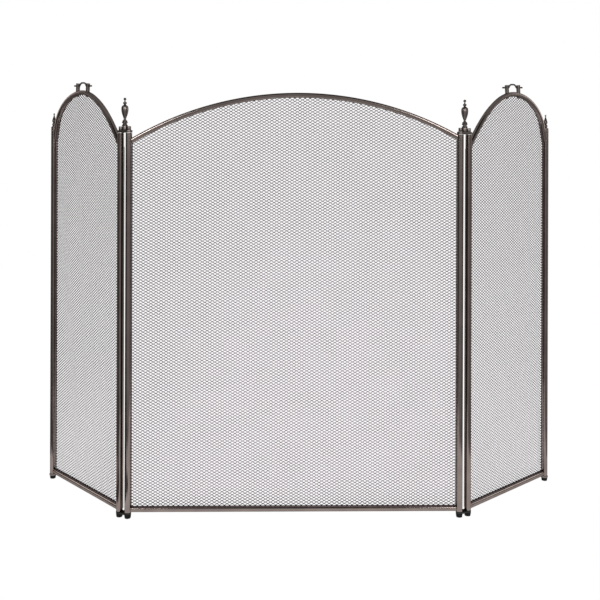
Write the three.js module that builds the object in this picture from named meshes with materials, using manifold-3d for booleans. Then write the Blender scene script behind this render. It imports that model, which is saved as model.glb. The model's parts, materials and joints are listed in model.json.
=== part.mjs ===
// Three-panel folding fireplace screen: an arched centre panel and two arched wings of square tube,
// filled with diamond mesh and joined by double-pivot hinges. Millimetres, +Z up, +Y to the back.

import * as THREE from 'three';
import * as BufferGeometryUtils from 'three/addons/utils/BufferGeometryUtils.js';
import Module from 'manifold-3d';

const wasm = await Module();
wasm.setup();

// --- Driving dimensions -------------------------------------------------------------------------

// Clearances
const FIT = 0.3; // between pieces that touch
const BORE_FIT = 0.3; // around a shank in its hole

// Panels, measured between post axes
const CENTRE_SPAN = 673;
const WING_SPAN = 305.5;
const LEFT_FOLD = THREE.MathUtils.degToRad(49.2); // how far each wing stands folded back
const RIGHT_FOLD = THREE.MathUtils.degToRad(42.7);

// Tubes
const POST_SIZE = 12;
const POST_CORNER = 2.5;
const RAIL_SIZE = 10;
const RAIL_CORNER = 2.2;
const TUBE_WALL = 1.2;
const CORNER_FACETS = 2;
const BORE_CORNER_FACETS = 1;

// Heights above the floor
const FOOT_HEIGHT = 7;
const HINGE_POST_TOP = 778.2;

// Arches. A wing's axis meets its hinge post's axis at a drop below the post's top.
const CENTRE_SPRING_DROP = 13.2; // of the centre arch, below the post tops, midway between its ends
const CENTRE_ARCH_RISE = 92;
const CENTRE_CROWN_OFFSET = 9; // crown to the right of the panel's middle
const WING_SPRING_DROP = 29.2;
const WING_ARCH_RISE = 129;
const WING_CROWN_SHARE = 0.589; // of the wing's span, from the hinge post's axis to the crown
const WING_SHOULDER_FALL = 78.4; // upright half-axis of the ellipse past the crown
const WING_LANDING_SLOPE = THREE.MathUtils.degToRad(73); // of the straight end on the outer post
const WING_LANDING_RUN = 12.5; // of that straight end, along the panel
const OUTER_POST_DROP = 67; // outer post's top below the crown
const CENTRE_ARCH_STEPS = 18;
const WING_ARCH_STEPS = 22;

// Wire cloth. The real diamonds are MESH_CELL_WIDTH by MESH_CELL_HEIGHT. One strand in
// MESH_THINNING is kept each way, and made wider, so that the cloth stays a light solid.
const MESH_CELL_WIDTH = 10.4;
const MESH_CELL_HEIGHT = 6.07;
const MESH_THINNING = 5;
const STRAND_WIDTH = 2.2;
const STRAND_THICKNESS = 0.6;
const HEM_SKIN = 0.1; // hem in front of and behind the strands
const HEM_WIDTH = 3.2; // solid edge from the tubes' axes inwards, hidden behind them

// Hinges
const PIVOT_SPACING = 20; // from the centre panel's post axis to the wing's
const BAR_HALF_WIDTH = 7;
const BAR_THICKNESS = 4.5;
const CAP_THICKNESS = 1.2;
const PLUG_LENGTH = 12;
const PIN_RADIUS = 2.5;
const TOP_HEAD_RADIUS = 4.2;
const TOP_HEAD_HEIGHT = 7.5;
const TOP_HEAD_EDGE = 1;
const BOTTOM_HEAD_RADIUS = 4.5;
const BOTTOM_HEAD_HEIGHT = 3.2;

// Feet
const FOOT_TOP_RADIUS = 6.5;
const FOOT_BOTTOM_RADIUS = 5.2;
const FOOT_EDGE = 0.8;
const FLANGE_RADIUS = 7.8;
const FLANGE_EDGE = 0.8;

// Handles
const HANDLE_CROWN_OFFSET = 12; // handle's middle, from the crown towards the hinge
const HANDLE_STUD_SPACING = 46;
const HANDLE_STUD_RADIUS = 4.5;
const HANDLE_STUD_HEIGHT = 17;
const HANDLE_STUD_EDGE = 0.9;
const HANDLE_WIRE_RADIUS = 1.75;
const HANDLE_WIRE_DROP = 5.5; // wire axis below the stud tops
const HANDLE_BOW_RISE = 6.6;
const HANDLE_BOW_INSET = 3; // straight wire between each stud and the bow
const HANDLE_END_OVERHANG = 16; // wire past each stud's axis
const HANDLE_SCREW_RADIUS = 2;
const HANDLE_SCREW_HEAD_RADIUS = 3.6;
const HANDLE_SCREW_HEAD_HEIGHT = 2.4;
const HANDLE_SCREW_DEPTH = 7; // up into the stud

// Finials
const FINIAL_RADIUS = 7.1; // of the urn
const FINIAL_HEIGHT = 57.8; // above the pin heads
const FINIAL_STEM_RADIUS = 5.2; // between the pin heads
const SMALL_FINIAL_RADIUS = 5.2; // of its seat on the post
const SMALL_FINIAL_HEIGHT = 31.3;

// Facets of turned pieces
const TURNED_SIDES = 12;
const SMALL_SIDES = 12;
const BORE_SIDES = 10;
const WIRE_SIDES = 8;
const WIRE_STEPS = 26;
const BAR_END_FACETS = 10; // round each end of a hinge bar

// --- Sizes worked out from them -----------------------------------------------------------------

const barBottom = FOOT_HEIGHT + FIT;
const postBottom = barBottom + BAR_THICKNESS + FIT;
const capBottom = HINGE_POST_TOP + FIT;
const topBarBottom = capBottom + CAP_THICKNESS + FIT;
const topHeadBottom = topBarBottom + BAR_THICKNESS + FIT;
const topHeadTop = topHeadBottom + TOP_HEAD_HEIGHT;
const railSetback = (POST_SIZE - RAIL_SIZE) / 2; // rails stand flush with the posts' back faces
const meshFront = POST_SIZE / 2 + FIT;
const boreSize = POST_SIZE - 2 * TUBE_WALL;
const bottomRailHeight = postBottom + RAIL_SIZE / 2; // rail axis, so that it ends flush with the posts
const plugSize = boreSize - 2 * FIT;
const pinBore = PIN_RADIUS + BORE_FIT;
const footRecessRadius = BOTTOM_HEAD_RADIUS + FIT;
const footRecessFloor = FOOT_HEIGHT - BOTTOM_HEAD_HEIGHT - FIT;
const centreSpringHeight = HINGE_POST_TOP - CENTRE_SPRING_DROP;
const centreArchRadius = ((CENTRE_SPAN / 2) ** 2 + CENTRE_ARCH_RISE ** 2) / (2 * CENTRE_ARCH_RISE);
const wingCrownHeight = HINGE_POST_TOP - WING_SPRING_DROP + WING_ARCH_RISE;
const wingCrownFromHinge = WING_CROWN_SHARE * WING_SPAN;
const outerPostTop = wingCrownHeight - OUTER_POST_DROP;
const handleFromHinge = wingCrownFromHinge - HANDLE_CROWN_OFFSET;

// --- Materials ----------------------------------------------------------------------------------

const COLOURS = {
  pewter: { color: 0x6b6562, roughness: 0.38, metalness: 0.9 },
  meshWire: { color: 0x8d8789, roughness: 0.5, metalness: 0.75 },
  casting: { color: 0x6e6864, roughness: 0.34, metalness: 0.9 },
  steel: { color: 0x77726d, roughness: 0.36, metalness: 0.9 },
  plug: { color: 0x3a3836, roughness: 0.6, metalness: 0.4 },
  rubber: { color: 0x161514, roughness: 0.85, metalness: 0 },
};

function named(name, geometry, finish) {
  const mesh = new THREE.Mesh(geometry, new THREE.MeshStandardMaterial(COLOURS[finish]));
  mesh.name = name;
  return mesh;
}

// --- Solids and booleans ------------------------------------------------------------------------

function toSolid(geometry) {
  const bare = geometry.clone();
  bare.deleteAttribute('normal');
  bare.deleteAttribute('uv');
  const merged = BufferGeometryUtils.mergeVertices(bare, 1e-4);
  const index = merged.index.array;
  const corners = [];
  for (let i = 0; i < index.length; i += 3) {
    const [a, b, c] = [index[i], index[i + 1], index[i + 2]];
    if (a !== b && b !== c && c !== a) corners.push(a, b, c);
  }
  const vertProperties = Float32Array.from(merged.attributes.position.array);
  const triVerts = Uint32Array.from(corners);
  return new wasm.Manifold(new wasm.Mesh({ numProp: 3, vertProperties, triVerts }));
}

function toGeometry(solid) {
  const mesh = solid.getMesh();
  const geometry = new THREE.BufferGeometry();
  geometry.setAttribute('position', new THREE.BufferAttribute(Float32Array.from(mesh.vertProperties), 3));
  geometry.setIndex(new THREE.BufferAttribute(Uint32Array.from(mesh.triVerts), 1));
  geometry.computeVertexNormals();
  return geometry;
}

function cut(geometry, ...tools) {
  return toGeometry(tools.reduce((solid, tool) => solid.subtract(toSolid(tool)), toSolid(geometry)));
}

function join(...geometries) {
  return toGeometry(geometries.map(toSolid).reduce((solid, next) => solid.add(next)));
}

// --- Outlines -----------------------------------------------------------------------------------

// Points of an arc, from one angle to another in degrees.
function arc(x, y, radius, from, to, facets) {
  return Array.from({ length: facets + 1 }, (_, i) => {
    const angle = THREE.MathUtils.degToRad(from + ((to - from) * i) / facets);
    return new THREE.Vector2(x + radius * Math.cos(angle), y + radius * Math.sin(angle));
  });
}

function roundedSquare(size, corner, facets = CORNER_FACETS) {
  const inner = size / 2 - corner;
  return new THREE.Shape([
    ...arc(inner, inner, corner, 0, 90, facets),
    ...arc(-inner, inner, corner, 90, 180, facets),
    ...arc(-inner, -inner, corner, 180, 270, facets),
    ...arc(inner, -inner, corner, 270, 360, facets),
  ]);
}

function disc(radius, x = 0, sides = BORE_SIDES) {
  return new THREE.Shape(arc(x, 0, radius, 0, 360, sides).slice(1));
}

// Square tube section: the outer outline with the bore as its hole.
function tubeSection(size, corner) {
  const section = roundedSquare(size, corner);
  section.holes.push(roundedSquare(size - 2 * TUBE_WALL, corner - TUBE_WALL, BORE_CORNER_FACETS));
  return section;
}

function prism(shape, bottom, top) {
  const options = { depth: top - bottom, bevelEnabled: false };
  return new THREE.ExtrudeGeometry(shape, options).translate(0, 0, bottom);
}

// A profile of [radius, height] pairs, listed upwards, turned round the Z axis.
function turned(profile, sides = TURNED_SIDES) {
  const points = profile.map(([radius, height]) => new THREE.Vector2(radius, height));
  return new THREE.LatheGeometry(points, sides).rotateX(Math.PI / 2);
}

// A turned shape given in shares of a radius and a height, standing on a base.
function shaped(shares, radius, height, base) {
  return shares.map(([out, up]) => [out * radius, base + up * height]);
}

// --- Arches -------------------------------------------------------------------------------------

// An arch axis lies in the panel's plane: x along the panel, z up.
class ArchCurve extends THREE.Curve {
  constructor(steps, pointAt) {
    super();
    this.steps = steps;
    this.pointAt = pointAt;
  }

  getPoint(t, target = new THREE.Vector3()) {
    const [x, z] = this.pointAt(t);
    return target.set(x, railSetback, z);
  }
}

// Circular arc from one post's axis to the other's.
function centreArch() {
  const middle = centreSpringHeight + CENTRE_ARCH_RISE - centreArchRadius;
  const first = -Math.asin((CENTRE_SPAN / 2 + CENTRE_CROWN_OFFSET) / centreArchRadius);
  const last = Math.asin((CENTRE_SPAN / 2 - CENTRE_CROWN_OFFSET) / centreArchRadius);
  return new ArchCurve(CENTRE_ARCH_STEPS, (t) => {
    const angle = first + (last - first) * t;
    const x = CENTRE_CROWN_OFFSET + centreArchRadius * Math.sin(angle);
    return [x, middle + centreArchRadius * Math.cos(angle)];
  });
}

// Level half-axis of the wing's shoulder ellipse, which has turned to the landing slope after run.
function shoulderReach(run) {
  const fall = WING_SHOULDER_FALL / Math.tan(WING_LANDING_SLOPE);
  return run * Math.sqrt((1 + Math.sqrt(1 + (2 * fall / run) ** 2)) / 2);
}

// The wing's arch: a parabola up from the hinge post, a shoulder of an ellipse, and a straight end
// down to the outer post. side is -1 on the left and 1 on the right.
function wingArch(side) {
  const run = WING_SPAN - wingCrownFromHinge - WING_LANDING_RUN;
  const reach = shoulderReach(run);
  const turn = Math.asin(run / reach);
  const bendEndHeight = wingCrownHeight - WING_SHOULDER_FALL * (1 - Math.cos(turn));
  return new ArchCurve(WING_ARCH_STEPS, (t) => {
    const stretch = 3 * t;
    if (stretch < 1) {
      return [side * wingCrownFromHinge * stretch, wingCrownHeight - WING_ARCH_RISE * (1 - stretch) ** 2];
    }
    if (stretch < 2) {
      const angle = turn * (stretch - 1);
      const x = wingCrownFromHinge + reach * Math.sin(angle);
      return [side * x, wingCrownHeight - WING_SHOULDER_FALL * (1 - Math.cos(angle))];
    }
    const out = WING_LANDING_RUN * (stretch - 2);
    const x = wingCrownFromHinge + run + out;
    return [side * x, bendEndHeight - Math.tan(WING_LANDING_SLOPE) * out];
  });
}

function sweep(section, curve, steps) {
  return new THREE.ExtrudeGeometry(section, { steps, extrudePath: curve });
}

// The room a post takes up, with the gap that its neighbours keep.
function postRoom(x) {
  const size = POST_SIZE + 2 * FIT;
  return new THREE.BoxGeometry(size, size, 2 * outerPostTop).translate(x, 0, 0);
}

// The panel's area under its arch, as an outline moved in from the arch axis.
function areaUnder(curve, inset, bottom) {
  const points = [];
  for (let i = 0; i <= curve.steps; i++) {
    const at = curve.getPointAt(i / curve.steps);
    const along = curve.getTangentAt(i / curve.steps);
    const inward = new THREE.Vector2(along.z, -along.x);
    if (inward.y > 0) inward.negate();
    points.push(new THREE.Vector2(at.x + inset * inward.x, at.z + inset * inward.y));
  }
  points.push(new THREE.Vector2(points[points.length - 1].x, bottom));
  points.push(new THREE.Vector2(points[0].x, bottom));
  return new THREE.Shape(points);
}

// Stands an outline drawn in x and z upright, its front face at y = front.
function upright(shape, front, thickness) {
  const options = { depth: thickness, bevelEnabled: false };
  return new THREE.ExtrudeGeometry(shape, options).rotateX(Math.PI / 2).translate(0, front + thickness, 0);
}

// --- Wire cloth ---------------------------------------------------------------------------------

// Parallel slanting strands that cross all of the area from low to high and up to top.
function strands(lean, low, high, top) {
  const run = (lean * top * MESH_CELL_WIDTH) / MESH_CELL_HEIGHT;
  const pitch = MESH_CELL_WIDTH * MESH_THINNING;
  const half = STRAND_WIDTH / 2 / Math.sin(Math.atan2(MESH_CELL_HEIGHT, MESH_CELL_WIDTH));
  const middle = (low + high) / 2;
  const first = Math.floor((low - Math.max(0, run) - middle) / pitch);
  const last = Math.ceil((high - Math.min(0, run) - middle) / pitch);
  return Array.from({ length: last - first + 1 }, (_, i) => {
    const x = middle + (first + i) * pitch;
    return new THREE.Shape([
      new THREE.Vector2(x - half, 0),
      new THREE.Vector2(x + half, 0),
      new THREE.Vector2(x + half + run, top),
      new THREE.Vector2(x - half + run, top),
    ]);
  });
}

// Cloth that fills a panel, on the back faces of its tubes: a hem behind the tubes, and two layers
// of strands that cross without touching.
function wireCloth(curve, xFirst, xLast) {
  const low = Math.min(xFirst, xLast);
  const high = Math.max(xFirst, xLast);
  const top = Math.max(...curve.getPoints(curve.steps).map((point) => point.z)) + RAIL_SIZE;
  const area = (inset, front, thickness) => {
    const outline = toSolid(upright(areaUnder(curve, inset, bottomRailHeight + inset), front, thickness));
    const band = new THREE.BoxGeometry(high - low - 2 * inset, 4 * POST_SIZE, 2 * top);
    return outline.intersect(toSolid(band.translate((low + high) / 2, 0, 0)));
  };
  const backLayer = HEM_SKIN + STRAND_THICKNESS + FIT;
  const thickness = backLayer + STRAND_THICKNESS + HEM_SKIN;
  const hem = area(0, meshFront, thickness).subtract(area(HEM_WIDTH, 0, 2 * POST_SIZE));
  const strandRoom = area(HEM_WIDTH / 2, 0, 2 * POST_SIZE);
  const layers = [[1, HEM_SKIN], [-1, backLayer]].map(([lean, depth]) => {
    const layer = upright(strands(lean, low, high, top), meshFront + depth, STRAND_THICKNESS);
    return toSolid(layer).intersect(strandRoom);
  });
  return toGeometry(layers.reduce((cloth, layer) => cloth.add(layer), hem));
}

// --- Pieces -------------------------------------------------------------------------------------

function post(top) {
  return prism(tubeSection(POST_SIZE, POST_CORNER), postBottom, top);
}

function bottomRail(span) {
  const length = span - POST_SIZE - 2 * FIT;
  const rail = prism(tubeSection(RAIL_SIZE, RAIL_CORNER), -length / 2, length / 2);
  return rail.rotateY(Math.PI / 2).translate(0, railSetback, bottomRailHeight);
}

function archRail(curve, xFirst, xLast, ...holes) {
  const tube = sweep(tubeSection(RAIL_SIZE, RAIL_CORNER), curve, curve.steps);
  return cut(tube, postRoom(xFirst), postRoom(xLast), ...holes);
}

function plugWithBore(bottom, top) {
  const section = roundedSquare(plugSize, POST_CORNER - TUBE_WALL);
  section.holes.push(disc(pinBore));
  return prism(section, bottom, top);
}

function bottomPlug() {
  return plugWithBore(postBottom, postBottom + PLUG_LENGTH);
}

// The plug stays in the tube and its plate covers the tube's end.
function postCap() {
  const plate = roundedSquare(POST_SIZE, POST_CORNER);
  plate.holes.push(disc(pinBore));
  const overlap = CAP_THICKNESS / 2;
  const plug = plugWithBore(HINGE_POST_TOP - PLUG_LENGTH, capBottom + overlap);
  return join(plug, prism(plate, capBottom, capBottom + CAP_THICKNESS));
}

// Shank down through the hinge bar and the cap into the plug, under a tall round head.
function topPin() {
  const edge = TOP_HEAD_EDGE;
  return turned([
    [0, HINGE_POST_TOP - PLUG_LENGTH],
    [PIN_RADIUS, HINGE_POST_TOP - PLUG_LENGTH],
    [PIN_RADIUS, topHeadBottom],
    [TOP_HEAD_RADIUS, topHeadBottom],
    [TOP_HEAD_RADIUS, topHeadTop - edge],
    [TOP_HEAD_RADIUS - edge, topHeadTop],
    [0, topHeadTop],
  ], SMALL_SIDES);
}

// Shank up through the hinge bar into the plug, its head held in the rubber foot.
function bottomPin() {
  return turned([
    [0, FOOT_HEIGHT - BOTTOM_HEAD_HEIGHT],
    [BOTTOM_HEAD_RADIUS, FOOT_HEIGHT - BOTTOM_HEAD_HEIGHT],
    [BOTTOM_HEAD_RADIUS, FOOT_HEIGHT],
    [PIN_RADIUS, FOOT_HEIGHT],
    [PIN_RADIUS, postBottom + PLUG_LENGTH],
    [0, postBottom + PLUG_LENGTH],
  ], SMALL_SIDES);
}

// Cup of rubber round the head above it.
function rubberFoot() {
  return turned([
    [0, 0],
    [FOOT_BOTTOM_RADIUS - FOOT_EDGE, 0],
    [FOOT_BOTTOM_RADIUS, FOOT_EDGE],
    [FOOT_TOP_RADIUS, FOOT_HEIGHT],
    [footRecessRadius, FOOT_HEIGHT],
    [footRecessRadius, footRecessFloor],
    [0, footRecessFloor],
  ], SMALL_SIDES);
}

// Disc under an outer post, with a spigot in the tube and a head in the rubber foot.
function footFlange() {
  const spigotRadius = plugSize / 2;
  const flangeTop = postBottom - FIT;
  return turned([
    [0, FOOT_HEIGHT - BOTTOM_HEAD_HEIGHT],
    [BOTTOM_HEAD_RADIUS, FOOT_HEIGHT - BOTTOM_HEAD_HEIGHT],
    [BOTTOM_HEAD_RADIUS, barBottom],
    [FLANGE_RADIUS - FLANGE_EDGE, barBottom],
    [FLANGE_RADIUS, barBottom + FLANGE_EDGE],
    [FLANGE_RADIUS, flangeTop - FLANGE_EDGE],
    [FLANGE_RADIUS - FLANGE_EDGE, flangeTop],
    [spigotRadius, flangeTop],
    [spigotRadius, postBottom + PLUG_LENGTH],
    [0, postBottom + PLUG_LENGTH],
  ]);
}

// Flat bar with round ends, a hole for each pin and one for the finial where it carries one.
function hingeBar(side, bottom, withFinialHole) {
  const far = side * PIVOT_SPACING;
  const low = Math.min(0, far);
  const high = Math.max(0, far);
  const shape = new THREE.Shape([
    ...arc(high, 0, BAR_HALF_WIDTH, -90, 90, BAR_END_FACETS),
    ...arc(low, 0, BAR_HALF_WIDTH, 90, 270, BAR_END_FACETS),
  ]);
  shape.holes.push(disc(pinBore), disc(pinBore, far));
  if (withFinialHole) shape.holes.push(disc(pinBore, far / 2));
  return prism(shape, bottom, bottom + BAR_THICKNESS);
}

// Shapes of the finials, as shares of their radius and height above the base, listed upwards.
const URN_SHAPE = [
  [0.78, 0], // collar, with a ring at its foot and one at its top
  [0.815, 0.012],
  [0.87, 0.028],
  [0.815, 0.044],
  [0.61, 0.059],
  [0.595, 0.107],
  [0.795, 0.12],
  [0.855, 0.137],
  [0.795, 0.154],
  [0.67, 0.173],
  [0.71, 0.194],
  [0.375, 0.225], // waist
  [0.35, 0.263],
  [0.505, 0.318], // urn
  [0.725, 0.398],
  [0.915, 0.484],
  [1, 0.571],
  [0.985, 0.647],
  [0.855, 0.702],
  [0.52, 0.737],
  [0.305, 0.758], // neck with a bead
  [0.39, 0.78],
  [0.53, 0.8],
  [0.53, 0.826],
  [0.39, 0.846],
  [0.19, 0.869],
  [0.175, 0.896],
  [0.21, 0.906], // ball
  [0.365, 0.925],
  [0.42, 0.95],
  [0.365, 0.975],
  [0.21, 0.993],
  [0, 1],
];
const SMALL_SHAPE = [
  [1, 0], // seat
  [0.96, 0.032],
  [0.615, 0.054],
  [0.61, 0.065], // ball
  [0.8, 0.11],
  [0.865, 0.17],
  [0.79, 0.228],
  [0.58, 0.273],
  [0.5, 0.294], // drop
  [0.79, 0.364],
  [0.865, 0.428],
  [0.73, 0.543],
  [0.44, 0.684],
  [0.25, 0.831],
  [0.26, 0.896], // tip
  [0.365, 0.94],
  [0.26, 0.985],
  [0, 1],
];

// Urn finial: spigot, stem between the pin heads, then the urn.
function largeFinial() {
  return turned([
    [0, topBarBottom],
    [PIN_RADIUS, topBarBottom],
    [PIN_RADIUS, topHeadBottom],
    [FINIAL_STEM_RADIUS, topHeadBottom],
    [FINIAL_STEM_RADIUS, topHeadTop + FIT],
    ...shaped(URN_SHAPE, FINIAL_RADIUS, FINIAL_HEIGHT, topHeadTop + FIT),
  ]);
}

// Small finial with a spigot in the outer post's open end.
function smallFinial() {
  const spigotRadius = plugSize / 2;
  return turned([
    [0, outerPostTop - PLUG_LENGTH],
    [spigotRadius, outerPostTop - PLUG_LENGTH],
    [spigotRadius, outerPostTop + FIT],
    ...shaped(SMALL_SHAPE, SMALL_FINIAL_RADIUS, SMALL_FINIAL_HEIGHT, outerPostTop + FIT),
  ], SMALL_SIDES);
}

// --- Handle -------------------------------------------------------------------------------------

// The point of a wing's arch axis at a distance along the panel from the hinge post's axis.
function pointAlong(curve, distance) {
  let [before, after] = [0, 1];
  for (let i = 0; i < 40; i++) {
    const t = (before + after) / 2;
    if (Math.abs(curve.getPoint(t).x) < distance) before = t;
    else after = t;
  }
  return curve.getPoint(before);
}

// The handle's own frame: x from stud to stud, z out of the arch, the origin midway on that line.
function handlePlace(curve) {
  const half = HANDLE_STUD_SPACING / 2;
  const ends = [-1, 1].map((end) => pointAlong(curve, handleFromHinge + end * half));
  ends.sort((a, b) => a.x - b.x);
  const along = ends[1].clone().sub(ends[0]);
  const at = ends[0].clone().add(ends[1]).multiplyScalar(0.5);
  return new THREE.Matrix4().makeRotationY(Math.atan2(-along.z, along.x)).setPosition(at);
}

const studTop = RAIL_SIZE / 2 + HANDLE_STUD_HEIGHT;
const wireHeight = studTop - HANDLE_WIRE_DROP;

// Wire axis: straight through both studs with a smooth bow between them.
class BowCurve extends THREE.Curve {
  getPoint(t, target = new THREE.Vector3()) {
    const reach = HANDLE_STUD_SPACING / 2 + HANDLE_END_OVERHANG;
    const bowHalf = HANDLE_STUD_SPACING / 2 - HANDLE_STUD_RADIUS - HANDLE_BOW_INSET;
    const x = reach * (2 * t - 1);
    const inBow = Math.min(1, Math.abs(x) / bowHalf);
    const lift = HANDLE_BOW_RISE * (1 - inBow ** 4) ** 2;
    return target.set(x, 0, wireHeight + lift);
  }
}

function acrossHandle(radius, length) {
  return new THREE.CylinderGeometry(radius, radius, length, SMALL_SIDES).rotateZ(Math.PI / 2);
}

function handleBar() {
  return sweep(disc(HANDLE_WIRE_RADIUS, 0, WIRE_SIDES), new BowCurve(), WIRE_STEPS);
}

// Stud saddled on the arch, cross-bored for the wire and bored from below for its screw.
function handleStud(x, archRoom) {
  const screwBore = HANDLE_SCREW_RADIUS + BORE_FIT;
  const stud = turned([
    [0, 0],
    [HANDLE_STUD_RADIUS, 0],
    [HANDLE_STUD_RADIUS, studTop - HANDLE_STUD_EDGE],
    [HANDLE_STUD_RADIUS - HANDLE_STUD_EDGE, studTop],
    [0, studTop],
  ], SMALL_SIDES).translate(x, 0, 0);
  const crossBore = acrossHandle(HANDLE_WIRE_RADIUS + BORE_FIT, 4 * HANDLE_STUD_RADIUS);
  const screwTop = RAIL_SIZE / 2 + HANDLE_SCREW_DEPTH + FIT;
  const shankRoom = new THREE.CylinderGeometry(screwBore, screwBore, 2 * screwTop, SMALL_SIDES);
  return cut(
    stud,
    archRoom,
    crossBore.translate(x, 0, wireHeight),
    shankRoom.rotateX(Math.PI / 2).translate(x, 0, 0),
  );
}

function handleScrew(x, archRoom) {
  const headBottom = -RAIL_SIZE / 2 - HANDLE_SCREW_HEAD_HEIGHT;
  const headTop = 0;
  const head = turned([
    [0, headBottom],
    [HANDLE_SCREW_HEAD_RADIUS, headBottom],
    [HANDLE_SCREW_HEAD_RADIUS, headTop],
    [0, headTop],
  ], SMALL_SIDES).translate(x, 0, 0);
  const shank = turned([
    [0, headBottom + HANDLE_SCREW_HEAD_HEIGHT / 2],
    [HANDLE_SCREW_RADIUS, headBottom + HANDLE_SCREW_HEAD_HEIGHT / 2],
    [HANDLE_SCREW_RADIUS, RAIL_SIZE / 2 + HANDLE_SCREW_DEPTH],
    [0, RAIL_SIZE / 2 + HANDLE_SCREW_DEPTH],
  ], SMALL_SIDES).translate(x, 0, 0);
  return join(cut(head, archRoom), shank);
}

// Holes in the arch for one handle's screws, in the handle's frame.
function screwHoles(place) {
  return [-1, 1].map((end) => {
    const radius = HANDLE_SCREW_RADIUS + BORE_FIT;
    const hole = new THREE.CylinderGeometry(radius, radius, 4 * RAIL_SIZE, SMALL_SIDES);
    return hole.rotateX(Math.PI / 2).translate((end * HANDLE_STUD_SPACING) / 2, 0, 0).applyMatrix4(place);
  });
}

// --- Panels and hinges --------------------------------------------------------------------------

const screen = new THREE.Group();

function sideName(side) {
  return side < 0 ? 'left' : 'right';
}

// Cap, plug, pins and foot of one hinge post, whose axis is at x in its group.
function addPostEnds(group, prefix, x) {
  const ends = [
    named(`${prefix}_post_cap`, postCap(), 'plug'),
    named(`${prefix}_bottom_plug`, bottomPlug(), 'plug'),
    named(`${prefix}_top_pin`, topPin(), 'steel'),
    named(`${prefix}_bottom_pin`, bottomPin(), 'steel'),
    named(`${prefix}_foot`, rubberFoot(), 'rubber'),
  ];
  for (const piece of ends) {
    piece.position.x = x;
    group.add(piece);
  }
}

function addCentrePanel() {
  const half = CENTRE_SPAN / 2;
  const arch = centreArch();
  screen.add(named('centre_arch_rail', archRail(arch, -half, half), 'pewter'));
  screen.add(named('centre_bottom_rail', bottomRail(CENTRE_SPAN), 'pewter'));
  screen.add(named('centre_mesh', wireCloth(arch, -half, half), 'meshWire'));
  for (const side of [-1, 1]) {
    const upright = named(`centre_${sideName(side)}_post`, post(HINGE_POST_TOP), 'pewter');
    upright.position.x = side * half;
    screen.add(upright);
    addPostEnds(screen, `centre_${sideName(side)}`, side * half);
  }
}

function addHandle(wing, name, curve) {
  const place = handlePlace(curve);
  const roomSection = roundedSquare(RAIL_SIZE + 2 * FIT, RAIL_CORNER + FIT);
  const archRoom = sweep(roomSection, curve, curve.steps).applyMatrix4(place.clone().invert());
  const handle = new THREE.Group();
  handle.applyMatrix4(place);
  handle.add(named(`${name}_handle_bar`, handleBar(), 'steel'));
  for (const end of [-1, 1]) {
    const x = (end * HANDLE_STUD_SPACING) / 2;
    const where = end === Math.sign(place.elements[12]) ? 'outer' : 'inner';
    handle.add(named(`${name}_handle_${where}_stud`, handleStud(x, archRoom), 'casting'));
    handle.add(named(`${name}_handle_${where}_screw`, handleScrew(x, archRoom), 'steel'));
  }
  wing.add(handle);
}

// A wing in its own frame: hinge post on the origin, the panel running out along side * x.
function buildWing(side) {
  const name = sideName(side);
  const outer = side * WING_SPAN;
  const arch = wingArch(side);
  const wing = new THREE.Group();
  const holes = screwHoles(handlePlace(arch));
  wing.add(named(`${name}_wing_arch_rail`, archRail(arch, 0, outer, ...holes), 'pewter'));
  wing.add(named(`${name}_wing_mesh`, wireCloth(arch, 0, outer), 'meshWire'));
  wing.add(named(`${name}_wing_hinge_post`, post(HINGE_POST_TOP), 'pewter'));
  addPostEnds(wing, `${name}_wing`, 0);
  const rail = named(`${name}_wing_bottom_rail`, bottomRail(WING_SPAN), 'pewter');
  rail.position.x = outer / 2;
  wing.add(rail);
  const outerPieces = [
    named(`${name}_wing_outer_post`, post(outerPostTop), 'pewter'),
    named(`${name}_wing_outer_finial`, smallFinial(), 'casting'),
    named(`${name}_wing_foot_flange`, footFlange(), 'casting'),
    named(`${name}_wing_outer_foot`, rubberFoot(), 'rubber'),
  ];
  for (const piece of outerPieces) {
    piece.position.x = outer;
    wing.add(piece);
  }
  addHandle(wing, name, arch);
  return wing;
}

// The hinge turns on the centre panel's post by half the fold, and the wing turns on the hinge by
// the other half.
function addHingeAndWing(side, fold) {
  const name = sideName(side);
  const hinge = new THREE.Group();
  hinge.position.x = (side * CENTRE_SPAN) / 2;
  hinge.rotation.z = (side * fold) / 2;
  hinge.add(named(`${name}_hinge_top_bar`, hingeBar(side, topBarBottom, true), 'casting'));
  hinge.add(named(`${name}_hinge_bottom_bar`, hingeBar(side, barBottom, false), 'casting'));
  const finial = named(`${name}_hinge_finial`, largeFinial(), 'casting');
  finial.position.x = (side * PIVOT_SPACING) / 2;
  hinge.add(finial);
  const wing = buildWing(side);
  wing.position.x = side * PIVOT_SPACING;
  wing.rotation.z = (side * fold) / 2;
  hinge.add(wing);
  screen.add(hinge);
}

addCentrePanel();
addHingeAndWing(-1, LEFT_FOLD);
addHingeAndWing(1, RIGHT_FOLD);

// The origin is on the floor, below the middle of the box round the standing screen.
const box = new THREE.Box3().setFromObject(screen, true);
const middle = box.getCenter(new THREE.Vector3());
screen.position.set(-middle.x, -middle.y, 0);

export default screen;
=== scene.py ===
"""A three-panel folding fireplace screen in satin pewter: square tubes, arched tops, expanded-metal
cloth and double-pivot hinges under urn finials. Sizes are in millimetres, meshes in metres."""

import json
import math

import bmesh
import bpy
from mathutils import Matrix, Vector


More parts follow.
